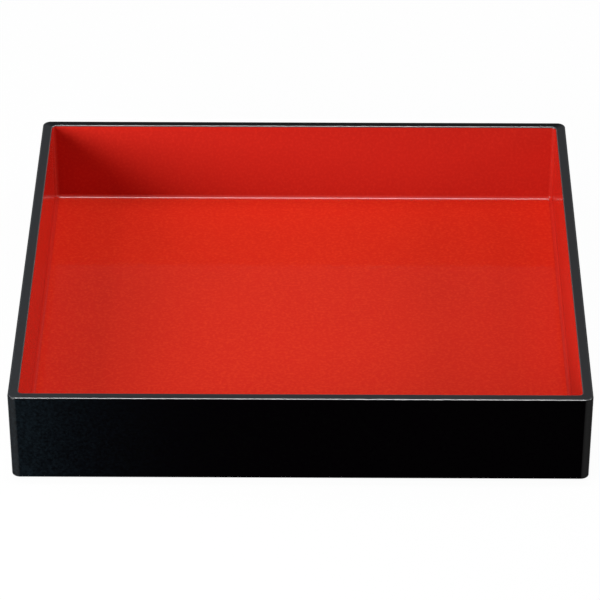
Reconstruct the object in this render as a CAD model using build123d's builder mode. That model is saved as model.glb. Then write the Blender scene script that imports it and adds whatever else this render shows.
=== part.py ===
"""One open tier of a lacquered stacking box (jubako), built as a joiner and a lacquerer build it.

Four thin boards lean out a little and meet in mitred corners, held by splines let into saw kerfs.
They stand on a bottom board, which is pegged up into them from below. The bottom board is rebated
round its edge, so that its middle drops into the rim of the tier below as a plinth. Black lacquer
covers the outside, the rim and the underside, and vermilion lacquer covers the inside, where the
ground coat fills the corners to a small cove.

Millimetres. The origin is on the surface that the tier stands on, under its middle. +Z is up,
-Y is the front and +X is the right-hand side.
"""

import os
from math import radians, tan

from build123d import *

# The finished tier
side = 303.0  # across the rim, outside to outside: one shaku
wall_height = 49.0  # from the lower edge of the walls to the rim
splay = 0.9  # degrees that each wall leans out
corner_radius = 4.5  # upright corners outside
cove_radius = 2.4  # upright corners inside
floor_cove = 2.0  # where the walls meet the floor
rim_round = 1.0  # outer edge of the rim
rim_inner_round = 0.7  # inner edge of the rim
foot_round = 0.6  # lower edge of the walls
plinth_round = 0.6  # lower edge of the plinth

# The wood and its coats
board = 5.0  # side boards, bare wood
flange = 1.4  # edge of the bottom board, under the side boards
coat = 0.25  # ground and lacquer together

# The plinth that drops into the tier below
plinth_drop = 2.5  # how far it stands below the walls
stacking_gap = 0.4  # left between the plinth and that tier's rim, on each side

# The joinery
splines_per_corner = 3
spline_thickness = 1.2
kerf_depth = 3.0  # into the corner, along its diagonal
pegs_per_side = 6
peg_diameter = 1.5
peg_length = 10.0
peg_margin = 22.0  # from the last peg of a row to the end of its board

# Heights and widths that follow from these
rim = plinth_drop + wall_height
wood_top = rim - coat
wood_foot = plinth_drop + coat
board_foot = wood_foot + flange
wall = board + 2 * coat
rim_opening = side - 2 * wall
plinth_width = rim_opening - 2 * stacking_gap


def across(height, inset):
    """Width between two facing surfaces at a height, each `inset` inside the finished outer wall."""
    return side - 2 * inset - 2 * (rim - height) * tan(radians(splay))


def splayed_block(inset, top, bottom, radius=0.0):
    """A block whose four sides lean out with the walls, its upright corners rounded."""
    with BuildPart() as block:
        with BuildSketch(Plane.XY.offset(top)):
            Rectangle(across(top, inset), across(top, inset))
        extrude(amount=bottom - top, taper=splay)
        if radius > 0:
            upright = block.edges().group_by(Axis.Z)[1]
            fillet(upright, radius)
    return block


def plinth_block(width, top, bottom, radius, edge_round):
    """The square block under the floor, its upright corners and its lower edge rounded."""
    with BuildPart() as block:
        with BuildSketch(Plane.XY.offset(bottom)):
            RectangleRounded(width, width, radius)
        extrude(amount=top - bottom)
        fillet(block.faces().sort_by(Axis.Z)[0].edges(), edge_round)
    return block


def tier_form(depth, floor, coves):
    """The whole tier at `depth` under its finished surface, as one solid with a hollow down to `floor`.

    The wood is made without the coves: its inner corners are sharp, and its rim's inner edge has
    its arris planed off flat.
    """
    top = rim - depth
    foot = plinth_drop + depth
    inner = wall - depth
    with BuildPart() as hollow:
        add(splayed_block(inner, top, floor, cove_radius if coves else 0.0))
        if coves:
            fillet(hollow.faces().sort_by(Axis.Z)[0].edges(), floor_cove)
    with BuildPart() as form:
        add(splayed_block(depth, top, foot, corner_radius - depth))
        fillet(form.faces().sort_by(Axis.Z)[0].edges(), foot_round - depth)
        fillet(form.faces().sort_by(Axis.Z)[-1].edges(), rim_round - depth)
        add(hollow, mode=Mode.SUBTRACT)
        rim_inner_edges = form.faces().sort_by(Axis.Z)[-1].inner_wires()[0].edges()
        if coves:
            fillet(rim_inner_edges, rim_inner_round - depth)
        else:
            chamfer(rim_inner_edges, rim_inner_round - depth)
        plinth = plinth_width - 2 * depth
        add(plinth_block(plinth, foot, depth, cove_radius - depth, plinth_round - depth))
    return form


def export(piece, name):
    """Label a finished piece and write it under its own name."""
    piece.part.label = name
    export_step(piece.part, f"parts/{name}.step")


os.makedirs("parts", exist_ok=True)

# The four walls, each with the direction it faces
boards = {"front_board": (0, -1), "right_board": (1, 0), "back_board": (0, 1), "left_board": (-1, 0)}

finished = tier_form(0.0, board_foot + coat, coves=True)
wood = tier_form(coat, board_foot, coves=False)

# Bottom pegs: bamboo, in the middle of each board's thickness, their lower ends flush with the wood
peg_line = (across(board_foot, coat) - board) / 2
peg_pitch = (across(board_foot, coat) - 2 * peg_margin) / (pegs_per_side - 1)
with BuildPart() as bottom_pegs:
    with BuildSketch(Plane.XY.offset(wood_foot)):
        with PolarLocations(peg_line, len(boards)):
            with GridLocations(0, peg_pitch, 1, pegs_per_side):
                Circle(peg_diameter / 2)
    extrude(amount=peg_length)
export(bottom_pegs, "bottom_pegs")

# Corner splines: flat keys, planed flush with the rounded corner they cross
spline_rise = (wood_top - board_foot) / (splines_per_corner + 1)
spline_blank = 2 * corner_radius + 4 * kerf_depth
corners = {"front_left": 225, "front_right": 315, "back_right": 45, "back_left": 135}
corner_splines = {}
for corner, bearing in corners.items():
    with BuildPart() as keys:
        for count in range(splines_per_corner):
            height = board_foot + spline_rise * (count + 1)
            half = across(height, coat) / 2
            arc = corner_radius - coat
            tip = Vector(half - arc, half - arc).length + arc
            outward = Plane.XY.offset(height).rotated((0, 0, bearing))
            with Locations(outward):
                with Locations((tip - kerf_depth, 0, 0)):
                    Box(
                        spline_blank,
                        2 * spline_blank,
                        spline_thickness,
                        align=(Align.MIN, Align.CENTER, Align.CENTER),
                    )
        add(wood, mode=Mode.INTERSECT)
    corner_splines[corner] = keys
    export(keys, f"{corner}_splines")

# Side boards: the wooden walls, parted by upright mitres through the corners
with BuildPart() as walls:
    add(wood)
    split(bisect_by=Plane.XY.offset(board_foot), keep=Keep.TOP)
    add(bottom_pegs, mode=Mode.SUBTRACT)
    for keys in corner_splines.values():
        add(keys, mode=Mode.SUBTRACT)

for name, (out_x, out_y) in boards.items():
    with BuildPart() as side_board:
        add(walls)
        for turn in (-1, 1):
            mitre = Plane(origin=(0, 0, 0), z_dir=(out_x - turn * out_y, out_y + turn * out_x, 0))
            split(bisect_by=mitre, keep=Keep.TOP)
    export(side_board, name)

# Bottom board: floor, rebated edge and plinth in one
with BuildPart() as bottom_board:
    add(wood)
    split(bisect_by=Plane.XY.offset(board_foot), keep=Keep.BOTTOM)
    add(bottom_pegs, mode=Mode.SUBTRACT)
export(bottom_board, "bottom_board")

# The coats: what lies between the bare wood and the finished surface
with BuildPart() as lacquer:
    add(finished)
    add(wood, mode=Mode.SUBTRACT)

# Vermilion: inside the middle of the boards, from the wood of the floor to the rim's inner round
inside = splayed_block(coat + board / 2, rim - rim_inner_round, board_foot)
with BuildPart() as inner_lacquer:
    add(lacquer)
    add(inside, mode=Mode.INTERSECT)
export(inner_lacquer, "inner_lacquer")

# Black under the plinth, as far as its rounded edge, and black over everything else
plinth_flat = plinth_width - 2 * plinth_round
with BuildPart() as below:
    with BuildSketch(Plane.XY):
        RectangleRounded(plinth_flat, plinth_flat, cove_radius - plinth_round)
    extrude(amount=coat)
with BuildPart() as underside_lacquer:
    add(lacquer)
    add(below, mode=Mode.INTERSECT)
export(underside_lacquer, "underside_lacquer")

with BuildPart() as outer_lacquer:
    add(lacquer)
    add(inside, mode=Mode.SUBTRACT)
    add(below, mode=Mode.SUBTRACT)
export(outer_lacquer, "outer_lacquer")
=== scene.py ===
# %% [markdown]
# # A lacquered tier of a stacking box
# The real thing is a shallow square tray of thin boards, coated black outside and vermilion inside.
# A maker of lacquerware builds it in three steps: the wood is joined, the corners are filled with
# ground coat until they are small rounds, and the lacquer goes over everything as a skin about a
# quarter of a millimetre thick. The scene follows the same order. The joined wood comes from the
# CAD frame and stays as it is; the two skins are modelled here, because all that the eye gets from
# lacquer is how its rounded edges and flat faces carry the light.

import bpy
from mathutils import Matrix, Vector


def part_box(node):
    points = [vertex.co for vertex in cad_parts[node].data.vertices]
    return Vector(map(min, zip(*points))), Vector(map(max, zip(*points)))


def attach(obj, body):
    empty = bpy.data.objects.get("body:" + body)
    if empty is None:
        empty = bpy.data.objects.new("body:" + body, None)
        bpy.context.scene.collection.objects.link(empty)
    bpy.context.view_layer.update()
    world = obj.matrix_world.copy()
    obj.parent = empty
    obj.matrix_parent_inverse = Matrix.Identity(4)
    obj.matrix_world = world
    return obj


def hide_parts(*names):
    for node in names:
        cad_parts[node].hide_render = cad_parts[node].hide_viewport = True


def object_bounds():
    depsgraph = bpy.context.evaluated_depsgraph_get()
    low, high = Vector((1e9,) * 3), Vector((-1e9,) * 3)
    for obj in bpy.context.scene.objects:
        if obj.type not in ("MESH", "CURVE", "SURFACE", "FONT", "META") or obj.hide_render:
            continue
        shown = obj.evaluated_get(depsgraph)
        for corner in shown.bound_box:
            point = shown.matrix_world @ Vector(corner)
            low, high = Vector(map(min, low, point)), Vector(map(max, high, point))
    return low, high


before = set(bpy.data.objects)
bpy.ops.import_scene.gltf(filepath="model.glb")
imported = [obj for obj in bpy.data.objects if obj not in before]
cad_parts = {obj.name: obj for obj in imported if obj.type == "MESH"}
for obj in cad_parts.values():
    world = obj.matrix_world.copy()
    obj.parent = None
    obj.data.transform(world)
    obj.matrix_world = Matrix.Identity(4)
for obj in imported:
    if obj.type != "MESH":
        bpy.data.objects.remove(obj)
cad_low, cad_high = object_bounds()
print("CAD box in mm:", [round(1000 * (high - low), 2) for low, high in zip(cad_low, cad_high)])

# %% [markdown]
# Everything below is in metres, so a helper value turns millimetres into them. The sizes that the
# frame can tell are read from it. What a box of a node can't tell, which is the radius of each
# rounded edge and the lean of the walls, is written down once, as a joiner would on the drawing.

# %% Sizes of the tier
from math import cos, pi, radians, sin, tan

import bpy
from mathutils import Vector

MM = 0.001
splay = radians(0.9)  # each wall leans out by this much
corner_radius = 4.5 * MM  # upright corners outside
cove_radius = 2.4 * MM  # upright corners inside
board_corner = 0.3 * MM  # the bare boards meet almost sharp behind the skin
floor_cove = 2.0 * MM  # where the walls meet the floor
rim_round = 1.0 * MM
foot_round = 0.6 * MM
plinth_round = 0.6 * MM

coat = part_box("underside_lacquer")[1].z  # the skin under the plinth lies on the ground
board_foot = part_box("front_board")[0].z
plinth_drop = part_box("bottom_pegs")[0].z - coat
plinth_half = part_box("underside_lacquer")[1].x + plinth_round
rim = cad_high.z
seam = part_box("inner_lacquer")[1].z  # where vermilion meets black, just under the rim
floor_top = board_foot + coat
lean = tan(splay)
outer_half = cad_high.x + rim_round * (lean + 1 / cos(splay) - 1)
inner_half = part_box("inner_lacquer")[1].x - coat + (rim - seam) * lean
print("in mm: rim", round(rim / MM, 2), "floor", round(floor_top / MM, 2), "wall",
      round((outer_half - inner_half) / MM, 2), "plinth drop", round(plinth_drop / MM, 2))

# %% [markdown]
# Every edge of the tier is a small round, and each one draws a thin bright line when a lamp hangs
# over it. A bevel modifier could make them, but the rounds differ in radius and meet in threes at
# the corners, so the section through the wall is drawn first as a line with a radius at each
# corner, like a pen line with fillets. The same helper serves the outside, the inside and the back
# of each skin.

# %% Draw a section line with rounded corners
ARC_STEPS = 10


def section_line(corners):
    """Follow (across, up, radius) corners; returns (point, turn), where turn is 0 to 1 along an arc."""
    line = []
    for index, (across, up, radius) in enumerate(corners):
        here = Vector((across, up))
        if radius <= 0:
            line.append((here, 0.0))
            continue
        before = (Vector(corners[index - 1][:2]) - here).normalized()
        after = (Vector(corners[index + 1][:2]) - here).normalized()
        half_angle = before.angle(after) / 2
        middle = here + (before + after).normalized() * radius / sin(half_angle)
        start = here + before * radius / tan(half_angle) - middle
        end = here + after * radius / tan(half_angle) - middle
        sweep = start.angle(end)
        for step in range(ARC_STEPS + 1):
            turn = step / ARC_STEPS
            arm = (start * sin((1 - turn) * sweep) + end * sin(turn * sweep)) / sin(sweep)
            line.append((middle + arm, turn))
    return line


print("a quarter round takes", len(section_line([(0, 1, 0), (1, 1, 0.5), (1, 0, 0)])) - 2, "points")

# %% [markdown]
# A section is then carried round the square. At each point of the section one closed loop is laid,
# a square with rounded corners, and neighbouring loops are joined by a band of faces. The corner
# radius shrinks or grows with the distance from the wall's face, as a true offset does. Each point
# also gets a shine value, which says how much of a clear coat the material lays on it. That coat is
# a painted highlight and reflection: it is highest on the rounds, where the bright lines belong.

# %% Carry a section round the square
CORNER_STEPS = 16


def square_loop(half, radius, up):
    """Points of one rounded square, anticlockwise from the right, with the bearing that each faces."""
    loop = []
    for quarter in range(4):
        side_x = 1 if quarter in (0, 3) else -1
        side_y = 1 if quarter in (0, 1) else -1
        for step in range(CORNER_STEPS + 1):
            bearing = (quarter + step / CORNER_STEPS) * pi / 2
            x = side_x * (half - radius) + radius * cos(bearing)
            y = side_y * (half - radius) + radius * sin(bearing)
            loop.append((Vector((x, y, up)), bearing))
    return loop


def skin_piece(name, rising, falling):
    """A closed skin: loops that rise from its first cap, then loops that fall to its last one.

    Each loop is a list of (point, painted shine), anticlockwise from above.
    """
    loops = rising + falling
    count = len(loops[0])
    faces = [tuple(range(count))]
    for row in range(len(loops) - 1):
        here, there = row * count, (row + 1) * count
        for step in range(count):
            after = (step + 1) % count
            faces.append((here + step, there + step, there + after, here + after))
    faces.append(tuple(reversed(range((len(loops) - 1) * count, len(loops) * count))))
    mesh = bpy.data.meshes.new(name)
    mesh.from_pydata([point for loop in loops for point, _ in loop], [], faces)
    mesh.validate()
    # the share of clear coat at each point, a painted highlight and reflection
    painted_shine = mesh.attributes.new("painted_shine", "FLOAT", "POINT")
    painted_shine.data.foreach_set("value", [shine for loop in loops for _, shine in loop])
    mesh.shade_smooth()
    piece = bpy.data.objects.new(name, mesh)
    bpy.context.scene.collection.objects.link(piece)
    flats = piece.modifiers.new("flats keep their own normal", "WEIGHTED_NORMAL")
    flats.weight = 100  # large faces outweigh the small ones beside them
    print(name, len(mesh.vertices), "points", len(mesh.polygons), "faces")
    return piece


def outer_wall(up, depth=0.0):
    """Half the width across the outer face at a height, `depth` under the lacquer."""
    return outer_half - depth - (rim - up) * lean


def inner_wall(up, depth=0.0):
    """Half the width across the inner face at a height, `depth` under the lacquer."""
    return inner_half + depth - (rim - up) * lean


# %% [markdown]
# The black skin starts inside the rim, where the vermilion stops, wraps over the rim, runs down
# the wall, under its foot and down the plinth that drops into the tier below, and covers the
# plinth's underside. Drawn twice, once at the surface and once a coat's thickness deeper, the line
# closes into a skin with a real thickness.
#
# The clear coat on the rim and the upright corners is painted highlight and reflection, and differs
# from side to side. None of these values is a known property of lacquer: each was matched to how
# bright that side looks on the real tier under its own light, so the back rim gets less than the front
# one.

# %% The black skin
RIM_FLAT_PAINTED_SHINE = 0.56  # the rim's flat, against 1 on its two rounds
BACK_RIM_SHARE = 0.3  # of that, what is left in the middle of the back, the darkest side
RIM_PAINTED_SHINE_END = 0.25  # share of the rim's outer arc where the painted shine starts to fade
FRONT_RIM_PAINTED_SHINE_END = 0.42  # the same in front, where the bright line is broader
RIM_PAINTED_SHINE_FADE = 0.15  # share of the arc over which it fades
CORNER_PAINTED_SHINE = 0.085  # the upright corners shine least


def rim_painted_shine(outer_turn, turn, bearing):
    """Painted shine of the rim's clear coat: `turn` runs along either arc, `outer_turn` along the outer
    one only.
    """
    frontness, backness = max(0.0, -sin(bearing)), max(0.0, sin(bearing))
    flat = RIM_FLAT_PAINTED_SHINE * (1 - (1 - BACK_RIM_SHARE) * backness)
    end = RIM_PAINTED_SHINE_END + (FRONT_RIM_PAINTED_SHINE_END - RIM_PAINTED_SHINE_END) * frontness
    faded = 1 - (outer_turn - end) / RIM_PAINTED_SHINE_FADE
    return (flat + (1 - flat) * sin(pi * turn)) * min(1.0, max(0.0, faded))


def upright_corner_painted_shine(bearing):
    """Painted shine of the upright corners' clear coat, which fades out sooner towards the left and
    right walls.
    """
    return CORNER_PAINTED_SHINE * abs(sin(2 * bearing)) ** 0.5 * sin(bearing) ** 2


def black_loops(depth):
    """Loops from the seam over the rim to the flat under the plinth, `depth` under the surface."""
    top, foot = rim - depth, plinth_drop + depth
    corners = [
        (inner_wall(seam, depth), seam, 0),
        (inner_wall(top, depth), top, rim - seam - depth),
        (outer_wall(top, depth), top, rim_round - depth),
        (outer_wall(foot, depth), foot, foot_round - depth),
        (plinth_half - depth, foot, 0),
        (plinth_half - depth, depth, plinth_round - depth),
        (plinth_half - plinth_round, depth, 0),  # only aims the round before it
    ]
    wall_middle = (outer_half + inner_half) / 2
    rim_zone = rim - 1.5 * rim_round  # only the rim, its rounds and the seam lie above this
    loops = []
    for (across, up), turn in section_line(corners)[:-1]:
        if across > wall_middle or across > plinth_half and up < seam - coat:  # outside and foot
            radius = corner_radius - (outer_wall(up) - across)
        elif up > foot:  # inside the rim
            radius = cove_radius + across - inner_wall(up)
        else:  # plinth
            radius = cove_radius - (plinth_half - across)
        outer_turn = turn if across > wall_middle else 0.0
        loop = []
        for point, bearing in square_loop(across, radius, up):
            shine = upright_corner_painted_shine(bearing) if up > depth else 0.0
            if up > rim_zone:
                shine = max(shine, rim_painted_shine(outer_turn, turn, bearing))
            loop.append((point, shine))
        loops.append(loop)
    return loops


black_skin = skin_piece("black_lacquer_skin", black_loops(coat)[::-1], black_loops(0.0))
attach(black_skin, "root")
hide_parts("outer_lacquer", "underside_lacquer")

# %% [markdown]
# The vermilion skin lines the inside. It runs from the seam down the wall, turns through the cove
# and becomes the floor. Behind it the bare boards meet almost sharp, and the ground coat fills the
# space between, which is why the skin is thickest in the corners.

# %% The vermilion skin
# the clear coat in the coves is a painted highlight, full along the front and the back
UPRIGHT_COVE_PAINTED_SHINE = 0.25  # against 1 in the coves along the front and the back


def vermilion_loops():
    """Loops from the edge of the flat floor through the cove and up the wall to the seam."""
    corners = [
        (inner_wall(floor_top) - 2 * floor_cove, floor_top, 0),  # only aims the cove after it
        (inner_wall(floor_top), floor_top, floor_cove),
        (inner_wall(seam), seam, 0),
    ]
    loops = []
    for (across, up), cove_turn in section_line(corners)[1:]:
        radius = cove_radius - (inner_wall(up) - across)
        above_floor = min(1.0, (up - floor_top) / floor_cove)
        loop = []
        for point, bearing in square_loop(across, radius, up):
            cove = sin(pi * cove_turn) * sin(bearing) ** 2
            corner = UPRIGHT_COVE_PAINTED_SHINE * above_floor * abs(sin(2 * bearing))
            loop.append((point, max(cove, corner)))
        loops.append(loop)
    return loops


def vermilion_back_loops():
    """Loops down the bare boards behind the skin, from the seam to the bottom board."""
    return [
        [(point, 0.0) for point, _ in square_loop(inner_wall(up, coat), board_corner, up)]
        for up in (seam, board_foot)
    ]


vermilion_skin = skin_piece("vermilion_lacquer_skin", vermilion_loops(), vermilion_back_loops())
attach(vermilion_skin, "root")
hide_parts("inner_lacquer")

# %% [markdown]
# Materials come next. Each starts from the real stuff, and a few helpers keep them short. The first
# turns a colour as a painter would name it, in sRGB, into the linear values that the shader wants.
# The second adds a node with its settings, its socket values and the links that feed it. A socket
# is called by its name, or by its number where several sockets share one, as in a mix node.

# %% Helpers for materials
MIX_SHARE, COLOUR_A, COLOUR_B = 0, 6, 7  # inputs of a mix node that mixes colours
MIXED_COLOUR = 2  # and its output
WAVE_RADIANS = 20  # how far a wave node's wave runs over one unit, at a scale of 1


def colour(hex_value):
    """An sRGB hex colour such as 'd92c1b' as linear red, green, blue and alpha."""
    shares = [int(hex_value[at : at + 2], 16) / 255 for at in (0, 2, 4)]
    linear = [s / 12.92 if s <= 0.04045 else ((s + 0.055) / 1.055) ** 2.4 for s in shares]
    return (*linear, 1.0)


def add_node(tree, kind, values=None, links=None, **settings):
    """Add a node of one kind; `values` go to its sockets, `links` feed them from other sockets."""
    made = tree.nodes.new(kind)
    for name, value in settings.items():
        setattr(made, name, value)
    for socket, value in (values or {}).items():
        made.inputs[socket].default_value = value
    for socket, source in (links or {}).items():
        tree.links.new(source, made.inputs[socket])
    return made


def new_material(name):
    """An empty material with its output node and the object's own coordinates, in metres."""
    material = bpy.data.materials.new(name)
    material.use_nodes = True
    tree = material.node_tree
    tree.nodes.clear()
    output = add_node(tree, "ShaderNodeOutputMaterial")
    place = add_node(tree, "ShaderNodeTexCoord").outputs["Object"]
    return material, tree, output, place


def per_metre(size_mm):
    """Noise scale that gives features of about this size."""
    return 1 / (size_mm * MM)


def rings_apart(spacing_mm):
    """Wave scale that draws rings this far apart."""
    return 2 * pi / WAVE_RADIANS * per_metre(spacing_mm)


print("mid grey 808080 in linear light:", round(colour("808080")[0], 3))

# %% [markdown]
# Lacquer is a clear resin with pigment in it, put on as a liquid, hardened and rubbed smooth. What
# tells it from plastic is small. The colour is a little uneven, the skin keeps a faint orange peel
# about three millimetres from dimple to dimple, the rubbing leaves it duller in places, and some
# dust lies under the last coat, drawn far coarser than real dust so that it shows. One function lays
# all of that on any colour, and is told how the colour is spread. On the black, that spread is a
# painted reflection, bluish grey towards the left-hand end.
#
# The rounds carry a clear coat where the shine value says so, a painted highlight and reflection.
# Lacquer's IOR is about 1.5, but with that value the black rim and its bright front line come out at
# about half the sRGB level that they have on the real tier. The clear coat's IOR is therefore higher
# than lacquer's. On the black it is 2.8, which brings the rim right and leaves the line somewhat dim.
# On the vermilion it is 1.9, for the line in the cove at the back, which was too dim in the same way.

# %% How the colour is spread, in patches or as a painted reflection
PATCH_MM = 45
# the streaks and the fade below make a painted reflection on the black
PAINTED_REFLECTION_STREAK_MM = 1.5
PAINTED_REFLECTION_FADE = 8.0  # the higher, the closer the painted reflection keeps to its end


def in_patches(tree, place):
    """Soft patches of uneven pigment, some four centimetres across."""
    patches = add_node(
        tree, "ShaderNodeTexNoise", {"Scale": per_metre(PATCH_MM), "Detail": 3.0}, {"Vector": place}
    )
    return patches.outputs["Fac"]


def painted_reflection_at_left(tree, place):
    """A painted reflection: bluish grey in fine streaks, strongest at the left-hand end and gone before
    the middle.
    """
    axes = add_node(tree, "ShaderNodeSeparateXYZ", links={0: place})
    reach = add_node(
        tree, "ShaderNodeMapRange",
        {"From Min": outer_half, "From Max": -outer_half}, {"Value": axes.outputs["X"]},
    )
    fading = add_node(
        tree, "ShaderNodeMath", {1: PAINTED_REFLECTION_FADE}, {0: reach.outputs["Result"]}, operation="POWER"
    )
    streaks = add_node(
        tree, "ShaderNodeTexNoise",
        {"Scale": per_metre(PAINTED_REFLECTION_STREAK_MM), "Detail": 4.0}, {"Vector": place},
    )
    uneven = add_node(
        tree, "ShaderNodeMapRange",
        {"From Min": 0.3, "From Max": 0.7, "To Min": 0.4, "To Max": 1.5},
        {"Value": streaks.outputs["Fac"]},
    )
    painted_reflection = add_node(
        tree, "ShaderNodeMath",
        links={0: fading.outputs["Value"], 1: uneven.outputs["Result"]}, operation="MULTIPLY",
    )
    return painted_reflection.outputs["Value"]


# %% Rubbed lacquer, in any colour
DUST_MM = 1.6  # real dust is far finer
DUST_COVER = 0.7  # share of its own colour that the thickest dust shows
RUBBING_MM = 12  # from a duller place to the next
PEEL_MM = 3  # from dimple to dimple
PEEL_DEPTH = 0.01 * MM
PEEL_STRENGTH = 0.1
CLEAR_COAT_ROUGHNESS = 0.34


def lacquer(name, base, deep, dust, spread, specular_level, coat_ior, coat_share, dulling):
    """Rubbed lacquer between a deep and a base colour, with dust of its own colour under the skin.

    `coat_share` is the clear coat where the painted shine is 1, `dulling` the least and most roughness.
    """
    material, tree, output, place = new_material(name)
    body = add_node(
        tree, "ShaderNodeMix",
        {COLOUR_A: colour(deep), COLOUR_B: colour(base)}, {MIX_SHARE: spread(tree, place)},
        data_type="RGBA",
    )
    specks = add_node(
        tree, "ShaderNodeTexNoise", {"Scale": per_metre(DUST_MM), "Detail": 3.0}, {"Vector": place}
    )
    speck_share = add_node(
        tree, "ShaderNodeMapRange",
        {"From Min": 0.45, "From Max": 0.75, "To Max": DUST_COVER}, {"Value": specks.outputs["Fac"]},
    )
    dusted = add_node(
        tree, "ShaderNodeMix",
        {COLOUR_B: colour(dust)},
        {MIX_SHARE: speck_share.outputs["Result"], COLOUR_A: body.outputs[MIXED_COLOUR]},
        data_type="RGBA",
    )
    rubbing = add_node(
        tree, "ShaderNodeTexNoise", {"Scale": per_metre(RUBBING_MM), "Detail": 4.0}, {"Vector": place}
    )
    least, most = dulling
    roughness = add_node(
        tree, "ShaderNodeMapRange",
        {"To Min": least, "To Max": most}, {"Value": rubbing.outputs["Fac"]},
    )
    peel = add_node(
        tree, "ShaderNodeTexNoise", {"Scale": per_metre(PEEL_MM), "Detail": 1.0}, {"Vector": place}
    )
    peel_bump = add_node(
        tree, "ShaderNodeBump",
        {"Strength": PEEL_STRENGTH, "Distance": PEEL_DEPTH}, {"Height": peel.outputs["Fac"]},
    )
    # the clear coat follows each point's shine value, a painted highlight and reflection
    painted_shine = add_node(tree, "ShaderNodeAttribute", attribute_name="painted_shine")
    clear = add_node(
        tree, "ShaderNodeMapRange", {"To Max": coat_share}, {"Value": painted_shine.outputs["Fac"]}
    )
    shader = add_node(
        tree, "ShaderNodeBsdfPrincipled",
        {
            "Specular IOR Level": specular_level,
            "Coat IOR": coat_ior,
            "Coat Roughness": CLEAR_COAT_ROUGHNESS,
        },
        {
            "Base Color": dusted.outputs[MIXED_COLOUR],
            "Roughness": roughness.outputs["Result"],
            "Normal": peel_bump.outputs["Normal"],
            "Coat Normal": peel_bump.outputs["Normal"],
            "Coat Weight": clear.outputs["Result"],
        },
    )
    tree.links.new(shader.outputs["BSDF"], output.inputs["Surface"])
    return material


# %% [markdown]
# Three finishes come from it. The black is polished and has next to no colour of its own, so it is
# seen by what it mirrors; towards its left-hand end its colour is a painted reflection, bluish grey.
# The vermilion floor is polished too, and the vermilion walls are satin, with colours darker than
# the floor's as painted shade.

# %% The three finishes
# the black's base colour shows only towards the left-hand end, as a painted reflection
black_lacquer = lacquer(
    "polished_black_lacquer", base="0b1115", deep="010001", dust="020202", spread=painted_reflection_at_left,
    specular_level=0.005, coat_ior=2.8, coat_share=1.0, dulling=(0.10, 0.2),
)
# the walls' three colours are the floor's vermilion made darker, as painted shade; satin is their own
# finish
vermilion_wall = lacquer(
    "satin_vermilion_lacquer", base="cc2a1f", deep="c7281e", dust="d53524", spread=in_patches,
    specular_level=0.13, coat_ior=1.9, coat_share=0.6, dulling=(0.16, 0.24),
)
vermilion_floor = lacquer(
    "polished_vermilion_lacquer", base="d92c1b", deep="d3291a", dust="e24022", spread=in_patches,
    specular_level=0.07, coat_ior=1.5, coat_share=0.0, dulling=(0.04, 0.10),
)
black_skin.data.materials.append(black_lacquer)
for finish in (vermilion_wall, vermilion_floor):
    vermilion_skin.data.materials.append(finish)
floor_face = vermilion_skin.data.polygons[0]
floor_face.material_index = 1
print("floor face covers", round(floor_face.area * 10000), "square centimetres")

# %% [markdown]
# Under the skins the wood of the frame is real too. The boards are planed cypress, pale with
# straight growth rings, the keys across the corners are a darker hardwood, and the pegs are split
# bamboo. The rings are drawn several times wider apart than real ones, which lie a millimetre or
# two apart. None of it shows on a whole tier, but a worn or cut one would show it.

# %% Planed wood and split bamboo
GRAIN_STRETCH = 0.04  # the pattern is drawn out 25 times along the grain
FIBRE_MM = 0.5
FIBRE_SHARE = 0.3  # of the fibre's tone, added to that of the rings
PORE_DEPTH = 0.05 * MM
PORE_STRENGTH = 0.4


def wood(name, early, late, ring_mm, grain_axis, dull):
    """Planed wood: growth rings as bands of early and late wood, streaked along the grain."""
    material, tree, output, place = new_material(name)
    along = [1.0, 1.0, 1.0]
    along["XYZ".index(grain_axis)] = GRAIN_STRETCH
    stretched = add_node(
        tree, "ShaderNodeVectorMath", {1: along}, {0: place}, operation="MULTIPLY"
    )
    rings = add_node(
        tree, "ShaderNodeTexWave",
        {"Scale": rings_apart(ring_mm), "Distortion": 3.0, "Detail": 2.0},
        {"Vector": stretched.outputs["Vector"]}, wave_type="RINGS", rings_direction=grain_axis,
    )
    fibre = add_node(
        tree, "ShaderNodeTexNoise",
        {"Scale": per_metre(FIBRE_MM), "Detail": 3.0}, {"Vector": stretched.outputs["Vector"]},
    )
    tone = add_node(
        tree, "ShaderNodeMath",
        {1: FIBRE_SHARE}, {0: fibre.outputs["Fac"], 2: rings.outputs["Fac"]},
        operation="MULTIPLY_ADD",
    )
    body = add_node(
        tree, "ShaderNodeMix",
        {COLOUR_A: colour(early), COLOUR_B: colour(late)}, {MIX_SHARE: tone.outputs["Value"]},
        data_type="RGBA",
    )
    bump = add_node(
        tree, "ShaderNodeBump",
        {"Strength": PORE_STRENGTH, "Distance": PORE_DEPTH}, {"Height": tone.outputs["Value"]},
    )
    shader = add_node(
        tree, "ShaderNodeBsdfPrincipled",
        {"Roughness": dull},
        {"Base Color": body.outputs[MIXED_COLOUR], "Normal": bump.outputs["Normal"]},
    )
    tree.links.new(shader.outputs["BSDF"], output.inputs["Surface"])
    return material


cypress_along_x = wood("planed_cypress_x", "d9bd8c", "b98f5a", 12.57, "X", 0.55)
cypress_along_y = wood("planed_cypress_y", "d9bd8c", "b98f5a", 12.57, "Y", 0.55)
key_wood = wood("planed_cherry", "a8693f", "7d4a2b", 7.54, "X", 0.45)
bamboo = wood("split_bamboo", "d3b877", "a98a4c", 3.77, "Z", 0.4)
wood_of = {
    "front_board": cypress_along_x, "back_board": cypress_along_x, "bottom_board": cypress_along_x,
    "left_board": cypress_along_y, "right_board": cypress_along_y, "bottom_pegs": bamboo,
}
for name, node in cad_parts.items():
    if name in wood_of or name.endswith("_splines"):
        node.data.materials.clear()
        node.data.materials.append(wood_of.get(name, key_wood))
        print(name, "is", node.data.materials[0].name)

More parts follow.
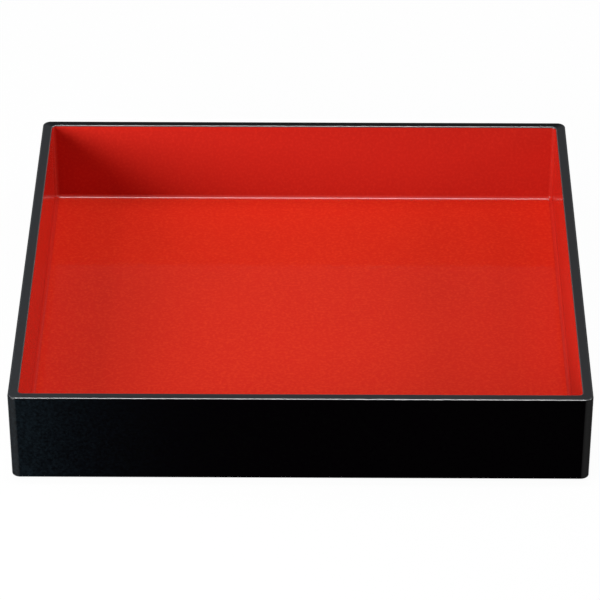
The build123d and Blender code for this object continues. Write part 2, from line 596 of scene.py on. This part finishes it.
# %% [markdown]
# The tier stands on a round pale floor, whose edge rises as a studio backdrop does. To come out
# white behind the object without more light on it, the floor is mostly a white that doesn't depend
# on the lamps, for the camera and for whatever mirrors it, and for the rest a matt white board,
# which still takes the shadow. That leaves the shadow faint.

# %% Floor
FLOOR_REACH = 6.0
BACKDROP_RISE = 1.2
RING_STEPS = 48
FLOOR_OWN_WHITE = 0.96  # share of its white that doesn't depend on the lamps


def ring(reach, up):
    """Points of one ring of the studio floor."""
    turns = [2 * pi * step / RING_STEPS for step in range(RING_STEPS)]
    return [(reach * cos(turn), reach * sin(turn), up) for turn in turns]


floor_points = ring(FLOOR_REACH, 0.0) + ring(FLOOR_REACH + BACKDROP_RISE, BACKDROP_RISE)
floor_faces = [tuple(range(RING_STEPS))]
for step in range(RING_STEPS):
    after = (step + 1) % RING_STEPS
    floor_faces.append((step, after, RING_STEPS + after, RING_STEPS + step))
floor_mesh = bpy.data.meshes.new("studio_floor")
floor_mesh.from_pydata(floor_points, [], floor_faces)
floor = bpy.data.objects.new("studio_floor", floor_mesh)
bpy.context.scene.collection.objects.link(floor)

paper, tree, output, _ = new_material("matt_white_board")
matt = add_node(tree, "ShaderNodeBsdfDiffuse", {"Color": colour("f2f2f2")})
glow = add_node(tree, "ShaderNodeEmission", {"Color": colour("ffffff"), "Strength": 1.0})
path = add_node(tree, "ShaderNodeLightPath")
camera_or_glossy = add_node(
    tree, "ShaderNodeMath", links={0: path.outputs["Is Camera Ray"], 1: path.outputs["Is Glossy Ray"]},
    operation="MAXIMUM",
)
seen = add_node(
    tree, "ShaderNodeMath",
    links={0: camera_or_glossy.outputs["Value"], 1: path.outputs["Is Transmission Ray"]},
    operation="MAXIMUM",
)
share = add_node(
    tree, "ShaderNodeMath", {1: FLOOR_OWN_WHITE}, {0: seen.outputs["Value"]}, operation="MULTIPLY"
)
mixed = add_node(
    tree, "ShaderNodeMixShader",
    links={0: share.outputs["Value"], 1: matt.outputs["BSDF"], 2: glow.outputs["Emission"]},
)
tree.links.new(mixed.outputs["Shader"], output.inputs["Surface"])
floor.data.materials.append(paper)

# %% [markdown]
# The light is what a catalogue studio would use. A long strip hangs high over the tier, its long
# side from left to right: it lights the tier's floor more than any other lamp does, and draws the
# bright line along the front and part of the one along the back. One low softbox at the front left
# lights the back and right walls and lets the left wall throw its soft shadow across the back one.
# Another at the right lights the left wall and lifts that shadow, two weak ones high on either side
# add a little to the walls and the floor, and the room itself is dim and even.

# %% Light
WELL = (0, 0, floor_top)  # the middle of the tier's floor, at which every lamp aims
ROOM_STRENGTH = 0.185


def softbox(name, place, width, height, power):
    """A rectangular area lamp, aimed at the well; sizes in metres, power in watts."""
    lamp = bpy.data.lights.new(name, "AREA")
    lamp.shape = "RECTANGLE"
    lamp.size, lamp.size_y = width, height
    lamp.energy = power
    box = bpy.data.objects.new(name, lamp)
    box.location = place
    box.rotation_euler = (Vector(WELL) - Vector(place)).to_track_quat("-Z", "Y").to_euler()
    bpy.context.scene.collection.objects.link(box)
    print(name, "stands", round((Vector(WELL) - Vector(place)).length, 2), "m away")


softbox("overhead_strip", place=(0.0, 0.1, 6.0), width=1.3, height=0.2, power=140)
softbox("low_left_softbox", place=(-0.60, -0.60, 0.262), width=0.34, height=0.34, power=7.3)
softbox("high_right_softbox", place=(2.4, 0.8, 2.7), width=0.8, height=0.4, power=7)
softbox("low_right_softbox", place=(1.6, 0.0, 0.7), width=0.8, height=0.5, power=11)
softbox("high_left_softbox", place=(-2.4, 0.8, 2.7), width=0.8, height=0.4, power=10)

room = bpy.data.worlds.new("cool_dim_room")
room.use_nodes = True
air = room.node_tree.nodes["Background"]
air.inputs["Color"].default_value = colour("f2f7ff")
air.inputs["Strength"].default_value = ROOM_STRENGTH
bpy.context.scene.world = room
bpy.context.scene.view_settings.view_transform = "Standard"

# %% [markdown]
# The camera was matched to the straight edges of the real tier, which together fix how far away a
# long lens stood and how steeply it looked down.

# %% Camera
PICTURE_PIXELS = 600  # side of the square picture
FOCAL_PIXELS = 3967.9  # focal length in units of one of those pixels
SENSOR_MM = 36
CAMERA_PLACE = (0.01247, -1.88359, 1.14133)  # metres
PITCH_DOWN, TURN_LEFT = radians(30.741), radians(0.417)

camera_data = bpy.data.cameras.new("catalogue_camera")
camera_data.sensor_width = SENSOR_MM
camera_data.lens = FOCAL_PIXELS / PICTURE_PIXELS * SENSOR_MM
camera_data.clip_start, camera_data.clip_end = 0.05, 50
camera = bpy.data.objects.new("catalogue_camera", camera_data)
camera.location = CAMERA_PLACE
camera.rotation_euler = (pi / 2 - PITCH_DOWN, 0, TURN_LEFT)
bpy.context.scene.collection.objects.link(camera)
bpy.context.scene.camera = camera
print("lens", round(camera_data.lens, 1), "mm")
